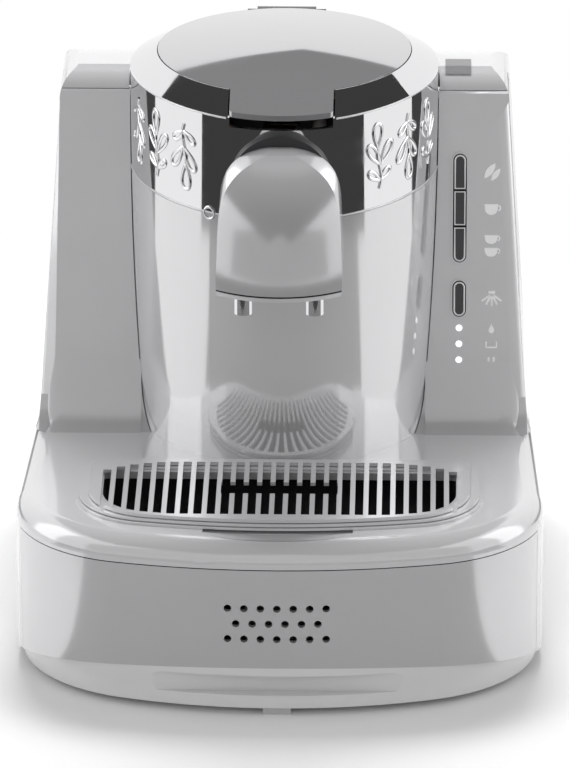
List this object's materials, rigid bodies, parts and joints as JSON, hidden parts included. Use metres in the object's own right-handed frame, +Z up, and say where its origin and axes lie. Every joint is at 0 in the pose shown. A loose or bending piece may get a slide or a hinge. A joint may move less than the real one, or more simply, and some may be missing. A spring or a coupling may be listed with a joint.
{
  "type": "electric turkish coffee maker",
  "caption": "Electric Turkish coffee maker: round brewing tower with hinged lid and spout over a wide base with drip tray, water tank column behind, push buttons on its face.",
  "frame": {"origin": "on the table under the middle of the machine's base", "axes": "+Z up, the front with spout and drip tray faces -Y, the buttons are on the +X side"},
  "size_m": [0.21, 0.25, 0.2269],
  "materials": {
    "casing": "glossy pearl white moulding",
    "panel": "glossy light silver",
    "base_grey": "satin light grey",
    "bright_metal": "polished",
    "steel": "brushed",
    "dark_plastic": "satin black",
    "button_grey": "glossy dark grey",
    "rubber": "matt",
    "clear_grey": "smoky clear",
    "lens": "milky clear",
    "board": "green circuit board",
    "hose": "milky silicone",
    "copper": "wound copper"
  },
  "bodies": {
    "machine": {"base_plate": "base_grey", "rubber_feet": "rubber", "base_screws": "steel", "lower_housing": "casing", "front_panel": "panel", "speaker": "dark_plastic", "speaker_gasket": "rubber", "deck_cover": "casing", "tower_cover": "casing", "chrome_band": "bright_metal", "shoulder_ring": "casing", "lid_hinge_pin": "steel", "hinge_bracket": "dark_plastic", "drum_body": "dark_plastic", "brew_pot": "steel", "heater_plate": "steel", "heater_element": "steel", "thermostat": "dark_plastic", "valve_body": "dark_plastic", "solenoid": "copper", "valve_spring": "steel", "spout_collar": "dark_plastic", "spout_cover": "panel", "spout_duct": "dark_plastic", "spout_nozzles": "bright_metal", "column_shell": "panel", "tank_shelf": "base_grey", "tank_seat": "dark_plastic", "button_surrounds": "bright_metal", "led_lenses": "lens", "switch_pad": "rubber", "control_board": "board", "water_pump": "dark_plastic", "pump_mount": "rubber", "inlet_hose": "hose", "delivery_hose": "hose", "power_board": "board", "cord_gland": "dark_plastic"},
    "top_lid": {"top_lid": "casing", "lid_liner": "dark_plastic", "lid_seal": "rubber"},
    "water_tank": {"water_tank": "clear_grey", "tank_lid_pins": "steel", "tank_valve": "rubber"},
    "tank_lid": {"tank_lid": "casing", "tank_lid_grip": "dark_plastic"},
    "drip_tray": {"drip_tray": "casing"},
    "drip_grille": {"drip_grille": "panel"},
    "button_slow_brew": {"button_slow_brew": "button_grey"},
    "button_one_cup": {"button_one_cup": "button_grey"},
    "button_two_cups": {"button_two_cups": "button_grey"},
    "button_clean": {"button_clean": "button_grey"},
    "valve_plunger": {"valve_plunger": "steel"}
  },
  "joints": [
    {"name": "lid_hinge", "type": "hinge", "parent": "machine", "child": "top_lid", "pos_m": [0, 0.0865, 0.2212], "axis": [-1, 0, 0], "range_deg": [0, 85]},
    {"name": "tank_lift", "type": "slide", "parent": "machine", "child": "water_tank", "axis": [0, 0, 1], "range_m": [0, 0.12]},
    {"name": "tank_lid_hinge", "type": "hinge", "parent": "water_tank", "child": "tank_lid", "pos_m": [0, 0.1232, 0.17828], "axis": [-1, 0, 0], "range_deg": [0, 75]},
    {"name": "tray_lift", "type": "slide", "parent": "machine", "child": "drip_tray", "axis": [0, 0, 1], "range_m": [0, 0.032]},
    {"name": "grille_lift", "type": "slide", "parent": "drip_tray", "child": "drip_grille", "axis": [0, 0, 1], "range_m": [0, 0.012]},
    {"name": "press_slow_brew", "type": "slide", "parent": "machine", "child": "button_slow_brew", "axis": [0, 0.974, -0.2266], "range_m": [0, 0.0008], "stiffness_N_per_m": 300},
    {"name": "press_one_cup", "type": "slide", "parent": "machine", "child": "button_one_cup", "axis": [0, 0.974, -0.2266], "range_m": [0, 0.0008], "stiffness_N_per_m": 300},
    {"name": "press_two_cups", "type": "slide", "parent": "machine", "child": "button_two_cups", "axis": [0, 0.974, -0.2266], "range_m": [0, 0.0008], "stiffness_N_per_m": 300},
    {"name": "press_clean", "type": "slide", "parent": "machine", "child": "button_clean", "axis": [0, 0.974, -0.2266], "range_m": [0, 0.0008], "stiffness_N_per_m": 300},
    {"name": "valve_lift", "type": "slide", "parent": "machine", "child": "valve_plunger", "axis": [0, 0, 1], "range_m": [0, 0.0025], "stiffness_N_per_m": 250, "deforming": ["valve_spring"]}
  ]
}
